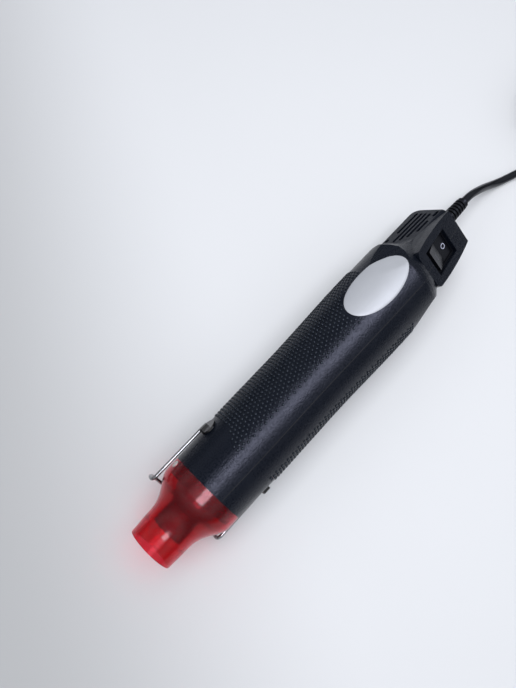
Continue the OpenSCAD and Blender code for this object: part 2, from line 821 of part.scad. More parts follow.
// The rocker rests off: its front half stands up and its rear half lies level with the panel
module switch_rocker() {
    dip = rocker_throw/2;
    color(dark) on_panel() translate([opening_s, 0, -case_top - rocker_pivot]) {
        rotate([0, dip, 0]) rotate([90, 0, 0]) translate([0, 0, -rocker_w/2])
            linear_extrude(height = rocker_w) polygon([
                [-rocker_l/2*0.94, 5.2], [0, 5.2 - tan(dip)*rocker_l*0.47], [rocker_l/2*0.94, 5.2],
                [rocker_l/2*0.94 - 0.7, 1.2], [3.2, -3.4], [-3.2, -3.4], [-rocker_l/2*0.94 + 0.7, 1.2]]);
        cross_bar(-case_w/2 + 0.1, case_w/2 - 0.1, 1);
    }
}

module switch_terminals() {
    color(steel) on_panel() translate([opening_s, 0, -case_top - case_depth]) for (s = [-4.5, 4.5])
        difference() {
            translate([s - 0.4, -3.15, -7]) cube([0.8, 6.3, 8.9]);
            translate([s, 0, -5]) rotate([0, 90, 0]) cylinder(r = 0.9, h = 4, center = true, $fn = 24);
        }
}

// Wires inside: from the lead to the switch, and from the lead and the switch to the board
wire_r = 0.8;
function panel_point(s, y, n) =
    [panel_x0 + s*cos(panel_slope) + n*sin(panel_slope), y,
     panel_h0 - s*sin(panel_slope) + n*cos(panel_slope)];
lug_n = -case_top - case_depth - 5.3;
module inner_wires() {
    live = panel_point(opening_s + 5.25, 0, lug_n);
    out = panel_point(opening_s - 5.25, 0, lug_n);
    start = lead_end_x - seat;
    pad = board_x + board_t + seat;
    color([0.35, 0.2, 0.1]) tube([[start, 0.9, -lead_drop], [start - 3.5, 0.8, -lead_drop],
        [start - 7, 0.3, (live[2] - lead_drop)/2], live], wire_r, 6, [0, 1, 0]);
    color([0.1, 0.2, 0.5]) tube([[start, -0.9, -lead_drop], [start - 3, -2.2, -lead_drop - 0.2],
        [start - 8, -4.7, -lead_drop - 0.8], [start - 28, -4.7, -lead_drop - 1],
        [pad + 5, -4.7, -8.7], [pad, -4.7, -8.7]], wire_r, 6, [0, 1, 0]);
    color(black) tube([out, [out[0] - 3, 0.8, out[2] - 0.5], [out[0] - 9, 3, out[2] - 2.2],
        [pad + 5, 4.7, -8.7], [pad, 4.7, -8.7]], wire_r, 6, [0, 1, 0]);
}

// Clamp that holds the lead behind the strain relief, on two posts of the right half
post_z = [-lead_drop - 4.6, -lead_drop + 4.6];
module clamp_posts() {
    intersection() {
        for (z = post_z) translate([clamp_x + clamp_l/2, 0, z]) cross_bar(-grip_r, lead_r - 0.4, 2);
        union() {
            cavity_form(wall - 0.4);
            translate([clamp_x - 4, 0, -lead_drop - 8]) cube([12, 3, 16]);
        }
    }
}
module clamp_holes() {
    for (z = post_z) translate([clamp_x + clamp_l/2, 0, z])
        cross_bar(lead_r - 6, lead_r + 1, 0.9 + slack);
}
module lead_clamp() {
    color(dark) translate([clamp_x, lead_r - 0.3, -lead_drop]) difference() {
        translate([0, 0, -6.8]) cube([clamp_l, 2, 13.6]);
        translate([0, 0.3 - lead_r, 0]) bar(-1, clamp_l + 1, lead_r + slack);
        for (z = [-4.6, 4.6]) translate([clamp_l/2, 0, z]) cross_bar(-1, 3, 1);
    }
}
module clamp_screws() {
    color(steel) for (z = post_z) translate([clamp_x + clamp_l/2, 0, z]) {
        cross_bar(lead_r - 5.6, lead_r + 1.7 + slack, 0.9);
        cross_bar(lead_r + 1.7 + slack, lead_r + 2.9, 1.7);
    }
}

// Strain relief: an inner flange, a neck in the wall and a tapering boot of ribs
relief_neck_r = 4;
relief_ribs = 10;
module strain_relief() {
    rib_pitch = (relief_l - 1.5)/relief_ribs;
    function boot_r(x) = 4.1 - 0.85*(x - body_x1)/relief_l;
    ribs = [for (i = [0:relief_ribs - 1]) let (x = body_x1 + 0.9 + i*rib_pitch)
        each [[boot_r(x) - 0.85, x], [boot_r(x), x + 0.15], [boot_r(x), x + rib_pitch*0.55],
              [boot_r(x) - 0.85, x + rib_pitch*0.7]]];
    color([0.04, 0.04, 0.045]) translate([0, 0, -lead_drop]) turned(concat(
        [[lead_r + slack, body_x1 - wall - 2.2], [5.2, body_x1 - wall - 2.2], [5.2, body_x1 - wall - 0.1],
         [relief_neck_r, body_x1 - wall - 0.1], [relief_neck_r, body_x1 + 0.7]], ribs,
        [[boot_r(relief_x1) - 0.2, relief_x1], [lead_r + slack, relief_x1]]));
}

module lead_end() {
    color([0.04, 0.04, 0.045]) translate([0, 0, -lead_drop]) bar(lead_end_x, relief_x1, lead_r);
}

// Smooth curve through the route's points, with straight ends
function spline(p, i, t) =
    let (a = p[max(i - 1, 0)], b = p[i], c = p[i + 1], d = p[min(i + 2, len(p) - 1)])
    b + 0.5*t*(c - a + t*(2*a - 5*b + 4*c - d + t*(3*(b - c) + d - a)));
run_last = len(run_route) - 1;
run_curve = [for (i = [0:2*run_last]) i == 2*run_last ? run_end :
    spline(run_route, floor(i/2), (i%2)/2)];
// Stretches of the lead lie this far apart where their ends lean against each other
lead_gap = 0.4;
run_short = lead_gap*unit(run_curve[2*run_last] - run_curve[2*run_last - 1]);
run_points = [for (i = [0:2*run_last]) let (p = i < 2*run_last ? run_curve[i] : run_curve[i] - run_short)
    [p[0], p[1], max(p[2], lead_r)]];
module lead_run() {
    color([0.04, 0.04, 0.045]) tube(run_points, lead_r, 8);
}

// The coil spirals in and out again layer by layer, and climbs in the half turn where it reverses
function sum(v, i = 0) = i == len(v) ? 0 : v[i] + sum(v, i + 1);
function coil_point(t) =
    let (two = 2*layer_turns, part = t - two*floor(t/two + 0.0001),
         r = coil_out - coil_pitch*(layer_turns - abs(part - layer_turns)),
         climb = sum([for (k = [1:coil_layers - 1]) ease((t - k*layer_turns + 0.25)/0.5)]),
         a = coil_start + 360*t)
    [coil_c[0] + r*cos(a), coil_c[1] + r*sin(a), lead_r + lead_lift + coil_pitch*climb];
coil_rings = coil_turns*24;
coil_points = [for (i = [0:coil_rings]) coil_point(i/24)];
coil_end = coil_points[coil_rings];
coil_turn = coil_start + 90 + 360*coil_turns;
coil_dir = [cos(coil_turn), sin(coil_turn), 0];

// Least gap between stretches of a winding that lie at least half a turn apart
function least_gap(p, d) = min([for (i = [0:len(p) - 13]) for (j = [i + 12:len(p) - 1])
    norm(p[i] - p[j])]) - d;
echo(coil_gap = least_gap(coil_points, lead_d), heater_gap = least_gap(heater_points, wire_d));
module lead_coil() {
    color([0.04, 0.04, 0.045]) tube(coil_points, lead_r, 6);
}

// Ties round the coil, one on each side
module coil_ties() {
    inner = coil_out - coil_pitch*layer_turns - lead_r - 0.3;
    outer = coil_out + lead_r + 0.3;
    tall = 2*lead_r + coil_pitch*(coil_layers - 1) + 0.2;
    color(black) for (a = [30, 150]) translate([coil_c[0], coil_c[1], lead_lift - 0.1]) rotate([0, 0, a])
        difference() {
            translate([inner - tie_t, -1.5, -tie_t]) cube([outer - inner + 2*tie_t, 3, tall + 2*tie_t]);
            translate([inner, -3, 0]) cube([outer - inner, 6, tall]);
        }
}

// The last of the lead, from the top of the coil down to the plug
tail_len = 42;
tail_level = 6;
tail_drop = coil_end[2] - plug_t/2;
function tail_point(u) = coil_end + coil_dir*tail_len*u -
    [0, 0, tail_drop*ease((tail_len*u - tail_level)/(tail_len - tail_level))];
plug_at = tail_point(1);
module lead_tail() {
    part = tail_len - 2*lead_gap;
    color([0.04, 0.04, 0.045])
        tube([for (i = [0:7]) tail_point((lead_gap + part*i/7)/tail_len)], lead_r, 8);
}

// Plug: flat body that widens from the lead to the face, with finger dents
module plug_body() {
    back_w = 10;
    side = [[0, back_w/2], [6, back_w/2 + 0.6], [13, 9], [19, 11.4], [25, 13.6], [30, plug_w/2],
            [plug_face, plug_w/2]];
    edge = 1.6;
    function outline(o) = concat([for (p = side) [min(max(p[0], o), plug_face - o*0.6), p[1] - o]],
        [for (i = [len(side) - 1:-1:0]) [min(max(side[i][0], o), plug_face - o*0.6), -side[i][1] + o]]);
    color([0.05, 0.05, 0.055]) translate([plug_at[0], plug_at[1], 0]) rotate([0, 0, coil_turn]) union() {
        translate([0, 0, edge]) linear_extrude(height = plug_t - 2*edge) polygon(outline(0));
        translate([0, 0, 0]) linear_extrude(height = plug_t) polygon(outline(edge));
        translate([0, 0, edge/2]) linear_extrude(height = plug_t - edge) polygon(outline(edge*0.35));
    }
}

module plug_pins() {
    color(steel) translate([plug_at[0], plug_at[1], 0]) rotate([0, 0, coil_turn]) for (side = [-1, 1])
        translate([0, side*pin_gap/2, plug_t/2]) {
            bar(plug_face + slack, plug_face + pin_l - 1, pin_d/2);
            translate([plug_face + pin_l - 1, 0, 0]) rotate([0, 90, 0])
                cylinder(r1 = pin_d/2, r2 = pin_d/2 - 0.8, h = 1, $fn = 48);
        }
}

laid() nozzle_guard();
laid() guard_screws();
laid() housing_left();
laid() housing_right();
laid() housing_screws();
laid() stand_bushes();
laid() wire_stand();
laid() heat_nozzle();
laid() mica_tube();
laid() mica_former();
laid() heater_wire();
laid() thermal_cutout();
laid() front_spacer();
laid() heat_shield();
laid() air_duct();
laid() fan_impeller();
laid() motor_mount();
laid() motor_screws();
laid() motor_can();
laid() motor_magnets();
laid() motor_armature();
laid() motor_shaft();
laid() motor_cap();
laid() rectifier_board();
laid() diodes();
laid() capacitor();
laid() switch_case();
laid() switch_rocker();
laid() switch_terminals();
laid() inner_wires();
laid() lead_clamp();
laid() clamp_screws();
laid() strain_relief();
laid() lead_end();
lead_run();
lead_coil();
coil_ties();
lead_tail();
plug_body();
plug_pins();
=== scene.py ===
import math

import bmesh
import bpy
from mathutils import Matrix, Vector
from mathutils.bvhtree import BVHTree


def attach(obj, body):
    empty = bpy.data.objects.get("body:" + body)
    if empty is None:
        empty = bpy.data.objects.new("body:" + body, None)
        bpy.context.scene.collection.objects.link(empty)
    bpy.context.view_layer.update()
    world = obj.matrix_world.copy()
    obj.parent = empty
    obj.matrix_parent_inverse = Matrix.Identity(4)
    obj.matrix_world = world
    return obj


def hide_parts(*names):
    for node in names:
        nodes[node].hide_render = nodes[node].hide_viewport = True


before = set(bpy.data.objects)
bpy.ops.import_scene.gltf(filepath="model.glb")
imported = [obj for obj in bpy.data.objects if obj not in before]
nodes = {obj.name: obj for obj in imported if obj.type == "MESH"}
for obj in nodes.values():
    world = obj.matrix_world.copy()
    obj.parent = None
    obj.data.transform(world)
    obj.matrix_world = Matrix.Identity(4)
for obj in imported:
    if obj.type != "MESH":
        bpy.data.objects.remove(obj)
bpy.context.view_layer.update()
mm = 0.001
print("frame loaded:", len(nodes), "solids")

# the tool's own frame: x from the guard's mouth to the lead, z up through the switch, y to the left
toolFrame = {"shiftX": 117.3, "shiftY": 0.7369, "axisHigh": 21.0, "roll": 30.0}


def toWorld(x, y, z):
    t = toolFrame
    c, s = math.cos(math.radians(t["roll"])), math.sin(math.radians(t["roll"]))
    return Vector((x - t["shiftX"], y * c - z * s - t["shiftY"], y * s + z * c + t["axisHigh"])) * mm


def onBarrel(x, angle, radius):
    a = math.radians(angle)  # 0 on the seam at the top, minus towards the left half
    return toWorld(x, -radius * math.sin(a), radius * math.cos(a))


# the camera that took the photo, worked out from it; millimetres and pixels
cameraSet = {
    "eye": (-73.39, -18.36, 260.12),
    "right": (0.6816, -0.7316, 0.0135),
    "down": (-0.6981, -0.6557, -0.2874),
    "look": (0.2191, 0.1865, -0.9577),
    "focalPixels": 520,
    "frameHigh": 688,
    "filmHigh": 36,
    "clip": (0.01, 20),
}


def addCamera(c):
    data = bpy.data.cameras.new("photoCamera")
    cam = bpy.data.objects.new("photoCamera", data)
    bpy.context.scene.collection.objects.link(cam)
    right, down, look, eye = (Vector(c[k]) for k in ("right", "down", "look", "eye"))
    cam.matrix_world = Matrix((
        (right.x, -down.x, -look.x, eye.x * mm),
        (right.y, -down.y, -look.y, eye.y * mm),
        (right.z, -down.z, -look.z, eye.z * mm),
        (0, 0, 0, 1)))
    data.sensor_fit = "VERTICAL"
    data.sensor_height = c["filmHigh"]
    data.lens = c["filmHigh"] * c["focalPixels"] / c["frameHigh"]
    data.clip_start, data.clip_end = c["clip"]
    bpy.context.scene.camera = cam


addCamera(cameraSet)
print("camera set")

# mains lead: a short run over the table, a round coil in layers, and a tail to the plug
leadSet = {
    "diameter": 4.2,
    "exit": (117.3, 3.2631, 14.0718),
    "steps": [(0, 0), (6, -0.2), (12, -1), (20, -2.3), (27, -3.9), (34, -6), (41, -8.4),
              (48, -10.8), (55, -13.9), (62, -17.6), (69, -21.6), (76, -25.7), (83, -29.8),
              (90, -33.9)],
    "pointsPerStep": 4,
    "fallAfter": 1.7,
    "fall": 37,
    "liftAfter": 53,
    "liftOver": 22,
    "lift": 0.9,
    "coilOut": 27.3,
    "coilPitch": 4.62,
    "coilStart": -120,
    "turns": 8.125,
    "layers": 4,
    "climbTurn": 0.5,
    "tail": 42,
    "tailLevel": 6,
    "tailPoints": 14,
    "plugHalf": 6.85,
    "pointsPerTurn": 36,
}


def ease(t):
    return (1 - math.cos(math.pi * min(1, max(0, t)))) / 2


# a point of the smooth curve through p, part t of the way from point i to the next
def between(p, i, t):
    a, b, c, d = p[max(i - 1, 0)], p[i], p[i + 1], p[min(i + 2, len(p) - 1)]
    return b + 0.5 * t * (c - a + t * (2 * a - 5 * b + 4 * c - d + t * (3 * (b - c) + d - a)))


def leadRoute(s):
    r = s["diameter"] / 2
    start = Vector(s["exit"])
    route = []
    for along, across in s["steps"]:
        high = r + (start.z - r) * (1 - ease((along - s["fallAfter"]) / s["fall"]))
        high += s["lift"] * ease((along - s["liftAfter"]) / s["liftOver"])
        route.append(Vector((start.x + along, start.y + across, high)))
    points = []
    steps = s["pointsPerStep"]
    for i in range(len(route) - 1):
        for k in range(steps):
            p = between(route, i, k / steps)
            points.append(Vector((p.x, p.y, max(p.z, r))))
    end = route[-1]
    a0 = math.radians(s["coilStart"])
    mid = end - Vector((math.cos(a0), math.sin(a0), 0)) * s["coilOut"]
    rings = math.ceil(s["turns"] * s["pointsPerTurn"])
    layer = s["turns"] / s["layers"]
    for i in range(rings + 1):
        t = s["turns"] * i / rings
        part = t - 2 * layer * math.floor(t / (2 * layer) + 0.0001)
        wide = s["coilOut"] - s["coilPitch"] * (layer - abs(part - layer))
        climb = sum(ease((t - k * layer + s["climbTurn"] / 2) / s["climbTurn"])
                    for k in range(1, s["layers"]))
        a = a0 + 2 * math.pi * t
        points.append(Vector((mid.x + wide * math.cos(a), mid.y + wide * math.sin(a),
                              r + s["lift"] + s["coilPitch"] * climb)))
    top, a = points[-1].copy(), a0 + 2 * math.pi * s["turns"]
    way = Vector((-math.sin(a), math.cos(a), 0))
    slope = s["tail"] - s["tailLevel"]
    for i in range(1, s["tailPoints"] + 1):
        along = s["tail"] * i / s["tailPoints"]
        drop = (top.z - s["plugHalf"]) * ease((along - s["tailLevel"]) / slope)
        points.append(top + way * along - Vector((0, 0, drop)))
    return points


def addLead(s):
    points = leadRoute(s)
    curve = bpy.data.curves.new("mainsLead", "CURVE")
    curve.dimensions = "3D"
    spline = curve.splines.new("POLY")
    spline.points.add(len(points) - 1)
    for slot, p in zip(spline.points, points):
        slot.co = (*(p * mm), 1)
        slot.radius = s["diameter"] / 2 * mm  # a curve's box counts the points' radius
    curve.bevel_depth = 1
    curve.bevel_resolution = 5
    curve.use_fill_caps = True
    lead = bpy.data.objects.new("mainsLead", curve)
    bpy.context.scene.collection.objects.link(lead)
    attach(lead, "housing")
    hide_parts("lead_run", "lead_coil", "lead_tail")
    return lead


mainsLead = addLead(leadSet)


# shader groups
def newGroup(name, inputs, outputs):
    group = bpy.data.node_groups.new(name, "ShaderNodeTree")
    for label, kind, value in inputs:
        socket = group.interface.new_socket(name=label, in_out="INPUT", socket_type=kind)
        socket.default_value = value
    for label, kind in outputs:
        group.interface.new_socket(name=label, in_out="OUTPUT", socket_type=kind)
    return group, group.nodes.new("NodeGroupInput"), group.nodes.new("NodeGroupOutput")


def addMath(tree, operation, a, b):
    node = tree.nodes.new("ShaderNodeMath")
    node.operation = operation
    for i, value in enumerate((a, b)):
        if hasattr(value, "node"):
            tree.links.new(value, node.inputs[i])
        else:
            node.inputs[i].default_value = value
    return node.outputs[0]


# colour mix: the sockets of a Mix node set to colour stand at these places
mixSockets = {"share": 0, "first": 6, "second": 7, "result": 2}


def addBlend(tree, share, first, second):
    mix = tree.nodes.new("ShaderNodeMix")
    mix.data_type = "RGBA"
    for label, value in (("share", share), ("first", first), ("second", second)):
        socket = mix.inputs[mixSockets[label]]
        if hasattr(value, "node"):
            tree.links.new(value, socket)
        else:
            socket.default_value = value
    return mix.outputs[mixSockets["result"]]


def addNoise(tree, place, scale, detail):
    noise = tree.nodes.new("ShaderNodeTexNoise")
    tree.links.new(place, noise.inputs["Vector"])
    if hasattr(scale, "node"):
        tree.links.new(scale, noise.inputs["Scale"])
    else:
        noise.inputs["Scale"].default_value = scale
    noise.inputs["Detail"].default_value = detail
    return noise.outputs["Fac"]


# fine moulded grain: a bump, and a roughness that changes with it
grainSet = {"bumpDeep": 0.00012, "fineDetail": 2, "broadScale": 45, "broadDetail": 3, "broadShare": 0.6}


def buildGrain(g):
    group, inlet, outlet = newGroup(
        "mouldedGrain",
        [("Scale", "NodeSocketFloat", 2600), ("Depth", "NodeSocketFloat", 0.3),
         ("Roughness", "NodeSocketFloat", 0.4), ("Spread", "NodeSocketFloat", 0.12)],
        [("Roughness", "NodeSocketFloat"), ("Normal", "NodeSocketVector")])
    place = group.nodes.new("ShaderNodeTexCoord").outputs["Object"]
    fine = addNoise(group, place, inlet.outputs["Scale"], g["fineDetail"])
    broad = addNoise(group, place, g["broadScale"], g["broadDetail"])
    bump = group.nodes.new("ShaderNodeBump")
    bump.inputs["Distance"].default_value = g["bumpDeep"]
    group.links.new(inlet.outputs["Depth"], bump.inputs["Strength"])
    group.links.new(fine, bump.inputs["Height"])
    slow = addMath(group, "MULTIPLY", addMath(group, "SUBTRACT", broad, 0.5), g["broadShare"])
    both = addMath(group, "ADD", addMath(group, "SUBTRACT", fine, 0.5), slow)
    rough = addMath(group, "ADD", inlet.outputs["Roughness"],
                    addMath(group, "MULTIPLY", both, inlet.outputs["Spread"]))
    group.links.new(rough, outlet.inputs["Roughness"])
    group.links.new(bump.outputs["Normal"], outlet.inputs["Normal"])
    return group


# slow change of tone over a surface, from handling and dust
toneSet = {"detail": 4, "clean": 0.42, "full": 0.72}


def buildTone(w):
    group, inlet, outlet = newGroup(
        "handledTone",
        [("Color", "NodeSocketColor", (0.5, 0.5, 0.5, 1)),
         ("Worn", "NodeSocketColor", (0.6, 0.6, 0.6, 1)),
         ("Scale", "NodeSocketFloat", 60), ("Amount", "NodeSocketFloat", 0.4)],
        [("Color", "NodeSocketColor")])
    place = group.nodes.new("ShaderNodeTexCoord").outputs["Object"]
    cloud = addNoise(group, place, inlet.outputs["Scale"], w["detail"])
    ramp = group.nodes.new("ShaderNodeMapRange")
    ramp.inputs["From Min"].default_value = w["clean"]
    ramp.inputs["From Max"].default_value = w["full"]
    group.links.new(cloud, ramp.inputs["Value"])
    mask = addMath(group, "MULTIPLY", ramp.outputs["Result"], inlet.outputs["Amount"])
    blend = addBlend(group, mask, inlet.outputs["Color"], inlet.outputs["Worn"])
    group.links.new(blend, outlet.inputs["Color"])
    return group


# drawn or brushed metal: fine lines that run along one way of the object
drawnSet = {"bumpDeep": 0.00005, "scale": 180, "detail": 3}


def buildDrawn(d):
    group, inlet, outlet = newGroup(
        "drawnLines",
        [("Stretch", "NodeSocketVector", (1, 20, 20)), ("Depth", "NodeSocketFloat", 0.2),
         ("Roughness", "NodeSocketFloat", 0.25), ("Spread", "NodeSocketFloat", 0.15)],
        [("Roughness", "NodeSocketFloat"), ("Normal", "NodeSocketVector")])
    place = group.nodes.new("ShaderNodeTexCoord").outputs["Object"]
    scaled = group.nodes.new("ShaderNodeVectorMath")
    scaled.operation = "MULTIPLY"
    group.links.new(place, scaled.inputs[0])
    group.links.new(inlet.outputs["Stretch"], scaled.inputs[1])
    lines = addNoise(group, scaled.outputs[0], d["scale"], d["detail"])
    bump = group.nodes.new("ShaderNodeBump")
    bump.inputs["Distance"].default_value = d["bumpDeep"]
    group.links.new(inlet.outputs["Depth"], bump.inputs["Strength"])
    group.links.new(lines, bump.inputs["Height"])
    rough = addMath(group, "ADD", inlet.outputs["Roughness"],
                    addMath(group, "MULTIPLY", addMath(group, "SUBTRACT", lines, 0.5),
                            inlet.outputs["Spread"]))
    group.links.new(rough, outlet.inputs["Roughness"])
    group.links.new(bump.outputs["Normal"], outlet.inputs["Normal"])
    return group


grainGroup, toneGroup, drawnGroup = buildGrain(grainSet), buildTone(toneSet), buildDrawn(drawnSet)
print("shader groups built")


def addGroup(tree, group, values):
    node = tree.nodes.new("ShaderNodeGroup")
    node.node_tree = group
    for label, value in values.items():
        node.inputs[label].default_value = value
    return node


def opaque(colour):
    return (*colour, 1)


# plastics and rubbers: tone and grain groups on one Principled shader
def mouldedMaterial(name, m):
    mat = bpy.data.materials.new(name)
    mat.use_nodes = True
    tree = mat.node_tree
    shader = tree.nodes["Principled BSDF"]
    tone = addGroup(tree, toneGroup, {"Color": opaque(m["colour"]), "Worn": opaque(m["worn"]),
                                      "Scale": m.get("toneScale", 60), "Amount": m.get("tone", 0.5)})
    grain = addGroup(tree, grainGroup, {"Scale": m.get("grainScale", 2600), "Depth": m["grain"],
                                        "Roughness": m["rough"], "Spread": m.get("spread", 0.12)})
    tree.links.new(tone.outputs["Color"], shader.inputs["Base Color"])
    tree.links.new(grain.outputs["Roughness"], shader.inputs["Roughness"])
    tree.links.new(grain.outputs["Normal"], shader.inputs["Normal"])
    for label, value in m.get("sockets", {}).items():
        shader.inputs[label].default_value = value
    return mat


def metalMaterial(name, m):
    mat = bpy.data.materials.new(name)
    mat.use_nodes = True
    tree = mat.node_tree
    shader = tree.nodes["Principled BSDF"]
    tone = addGroup(tree, toneGroup, {"Color": opaque(m["colour"]), "Worn": opaque(m["worn"]),
                                      "Scale": m.get("toneScale", 150), "Amount": m.get("tone", 0.6)})
    lines = addGroup(tree, drawnGroup, {"Stretch": m.get("stretch", (1, 20, 20)),
                                        "Depth": m.get("depth", 0.2), "Roughness": m["rough"],
                                        "Spread": m.get("spread", 0.15)})
    shader.inputs["Metallic"].default_value = 1
    tree.links.new(tone.outputs["Color"], shader.inputs["Base Color"])
    tree.links.new(lines.outputs["Roughness"], shader.inputs["Roughness"])
    tree.links.new(lines.outputs["Normal"], shader.inputs["Normal"])
    return mat


plasticLooks = {
    "gripPlastic": {"colour": (0.0030, 0.0046, 0.0085), "worn": (0.005, 0.007, 0.012), "rough": 0.32,
                    "grain": 1.0, "grainScale": 1200, "spread": 0.5,
                    "sockets": {"Specular IOR Level": 0.2, "Specular Tint": (0.80, 0.82, 1.0, 1)}},
    "dotPlastic": {"colour": (0.0030, 0.0046, 0.0085), "worn": (0.007, 0.009, 0.014), "rough": 0.24,
                   "grain": 0.35, "spread": 0.2,
                   "sockets": {"Specular IOR Level": 0.36, "Specular Tint": (0.74, 0.84, 1.0, 1)}},
    "glossBlack": {"colour": (0.004, 0.004, 0.005), "worn": (0.008, 0.008, 0.009), "rough": 0.14,
                   "grain": 0.08, "spread": 0.05, "sockets": {"Coat Weight": 0.3}},
    "switchPlastic": {"colour": (0.0045, 0.005, 0.007), "worn": (0.008, 0.0085, 0.011), "rough": 0.2,
                      "grain": 0.12, "spread": 0.1,
                      "sockets": {"Specular IOR Level": 0.3, "Specular Tint": (0.84, 0.87, 1.0, 1)}},
    # painted shade of the groove between the half shells
    "seamShade": {"colour": (0.002, 0.002, 0.003), "worn": (0.004, 0.004, 0.005), "rough": 0.8,
                  "grain": 0.1},
    "reliefRubber": {"colour": (0.004, 0.0045, 0.006), "worn": (0.008, 0.0085, 0.010), "rough": 0.36,
                     "grain": 0.3,
                     "sockets": {"Specular IOR Level": 0.2, "Specular Tint": (0.8, 0.85, 1.0, 1)}},
    "leadRubber": {"colour": (0.004, 0.0045, 0.006), "worn": (0.008, 0.0085, 0.011), "rough": 0.26,
                   "grain": 0.12, "spread": 0.08,
                   "sockets": {"Specular IOR Level": 0.25, "Specular Tint": (0.78, 0.84, 1.0, 1)}},
    "plugPlastic": {"colour": (0.010, 0.011, 0.014), "worn": (0.018, 0.018, 0.021), "rough": 0.42,
                    "grain": 0.35},
    "tieWeave": {"colour": (0.012, 0.012, 0.013), "worn": (0.03, 0.03, 0.032), "rough": 0.9,
                 "grain": 0.9, "grainScale": 900, "sockets": {"Sheen Weight": 0.3}},
    "micaSheet": {"colour": (0.46, 0.32, 0.14), "worn": (0.62, 0.50, 0.28), "rough": 0.35,
                  "grain": 0.3, "grainScale": 700},
    "paleMoulding": {"colour": (0.55, 0.55, 0.52), "worn": (0.42, 0.41, 0.38), "rough": 0.5,
                     "grain": 0.2},
    "ceramicMoulding": {"colour": (0.62, 0.59, 0.52), "worn": (0.5, 0.47, 0.4), "rough": 0.7,
                        "grain": 0.4},
    "boardLaminate": {"colour": (0.33, 0.22, 0.08), "worn": (0.4, 0.28, 0.12), "rough": 0.45,
                      "grain": 0.2},
    "componentBlack": {"colour": (0.012, 0.012, 0.014), "worn": (0.02, 0.02, 0.022), "rough": 0.45,
                       "grain": 0.2},
    "filmCapacitor": {"colour": (0.42, 0.13, 0.02), "worn": (0.5, 0.2, 0.05), "rough": 0.2,
                      "grain": 0.1},
    "wireSleeve": {"colour": (0.09, 0.04, 0.02), "worn": (0.13, 0.07, 0.04), "rough": 0.4,
                   "grain": 0.1},
    "magnetFerrite": {"colour": (0.04, 0.04, 0.045), "worn": (0.07, 0.07, 0.075), "rough": 0.6,
                      "grain": 0.5},
    # the bar's print in painted shade: the print colour darkened for the rocker half that lies in shade
    "markPaintedShade": {"colour": (0.06, 0.064, 0.085), "worn": (0.04, 0.043, 0.06), "rough": 0.5,
                  "grain": 0.1},
    "markWhite": {"colour": (0.42, 0.44, 0.56), "worn": (0.34, 0.36, 0.46), "rough": 0.5,
                  "grain": 0.1},
}
metalLooks = {
    "standSteel": {"colour": (0.34, 0.34, 0.35), "worn": (0.12, 0.115, 0.11), "rough": 0.22,
                   "stretch": (2, 30, 30)},
    "screwSteel": {"colour": (0.58, 0.57, 0.55), "worn": (0.36, 0.34, 0.31), "rough": 0.3,
                   "stretch": (12, 12, 12)},
    "nozzleSteel": {"colour": (0.06, 0.052, 0.05), "worn": (0.03, 0.025, 0.025), "rough": 0.62,
                    "stretch": (3, 20, 20), "toneScale": 90},
    "motorSteel": {"colour": (0.5, 0.5, 0.52), "worn": (0.38, 0.37, 0.37), "rough": 0.32},
    "windingCopper": {"colour": (0.52, 0.2, 0.07), "worn": (0.35, 0.13, 0.05), "rough": 0.3,
                      "stretch": (40, 40, 40)},
    "heaterAlloy": {"colour": (0.28, 0.25, 0.23), "worn": (0.18, 0.16, 0.15), "rough": 0.45},
    "terminalBrass": {"colour": (0.6, 0.42, 0.16), "worn": (0.42, 0.28, 0.1), "rough": 0.3},
    "pinMetal": {"colour": (0.66, 0.63, 0.57), "worn": (0.5, 0.46, 0.4), "rough": 0.22,
                 "stretch": (20, 20, 20)},
}
materials = {name: mouldedMaterial(name, look) for name, look in plasticLooks.items()}
materials.update({name: metalMaterial(name, look) for name, look in metalLooks.items()})


# clear red moulding: most of the light passes, tinted
guardLook = {"colour": (0.66, 0.026, 0.048), "worn": (0.62, 0.038, 0.07), "rough": 0.15,
             "grain": 0.05, "spread": 0.06, "toneScale": 80, "through": 0.96,
             "ior": 1.36, "specular": 0.35, "shadow": (0.86, 0.52, 0.58)}


def guardMaterial(m):
    mat = mouldedMaterial("redGuard", m)
    tree = mat.node_tree
    shader = tree.nodes["Principled BSDF"]
    shader.inputs["Transmission Weight"].default_value = m["through"]
    shader.inputs["IOR"].default_value = m["ior"]
    shader.inputs["Specular IOR Level"].default_value = m["specular"]
    # its shadow on the table is tinted, not black
    clear = tree.nodes.new("ShaderNodeBsdfTransparent")
    clear.inputs["Color"].default_value = opaque(m["shadow"])
    mix = tree.nodes.new("ShaderNodeMixShader")
    tree.links.new(tree.nodes.new("ShaderNodeLightPath").outputs["Is Shadow Ray"], mix.inputs[0])
    tree.links.new(shader.outputs[0], mix.inputs[1])
    tree.links.new(clear.outputs[0], mix.inputs[2])
    tree.links.new(mix.outputs[0], tree.nodes["Material Output"].inputs["Surface"])
    return mat


materials["redGuard"] = guardMaterial(guardLook)

# silver foil of the bare sticker: fine grain under a matt film
foilLook = {"colour": (0.42, 0.435, 0.47), "worn": (0.38, 0.395, 0.43), "rough": 0.5,
            "grain": 0.22, "grainScale": 1800, "spread": 0.1, "toneScale": 90,
            "sockets": {"Metallic": 0.12, "Specular IOR Level": 0.4}}
materials["stickerFoil"] = mouldedMaterial("stickerFoil", foilLook)

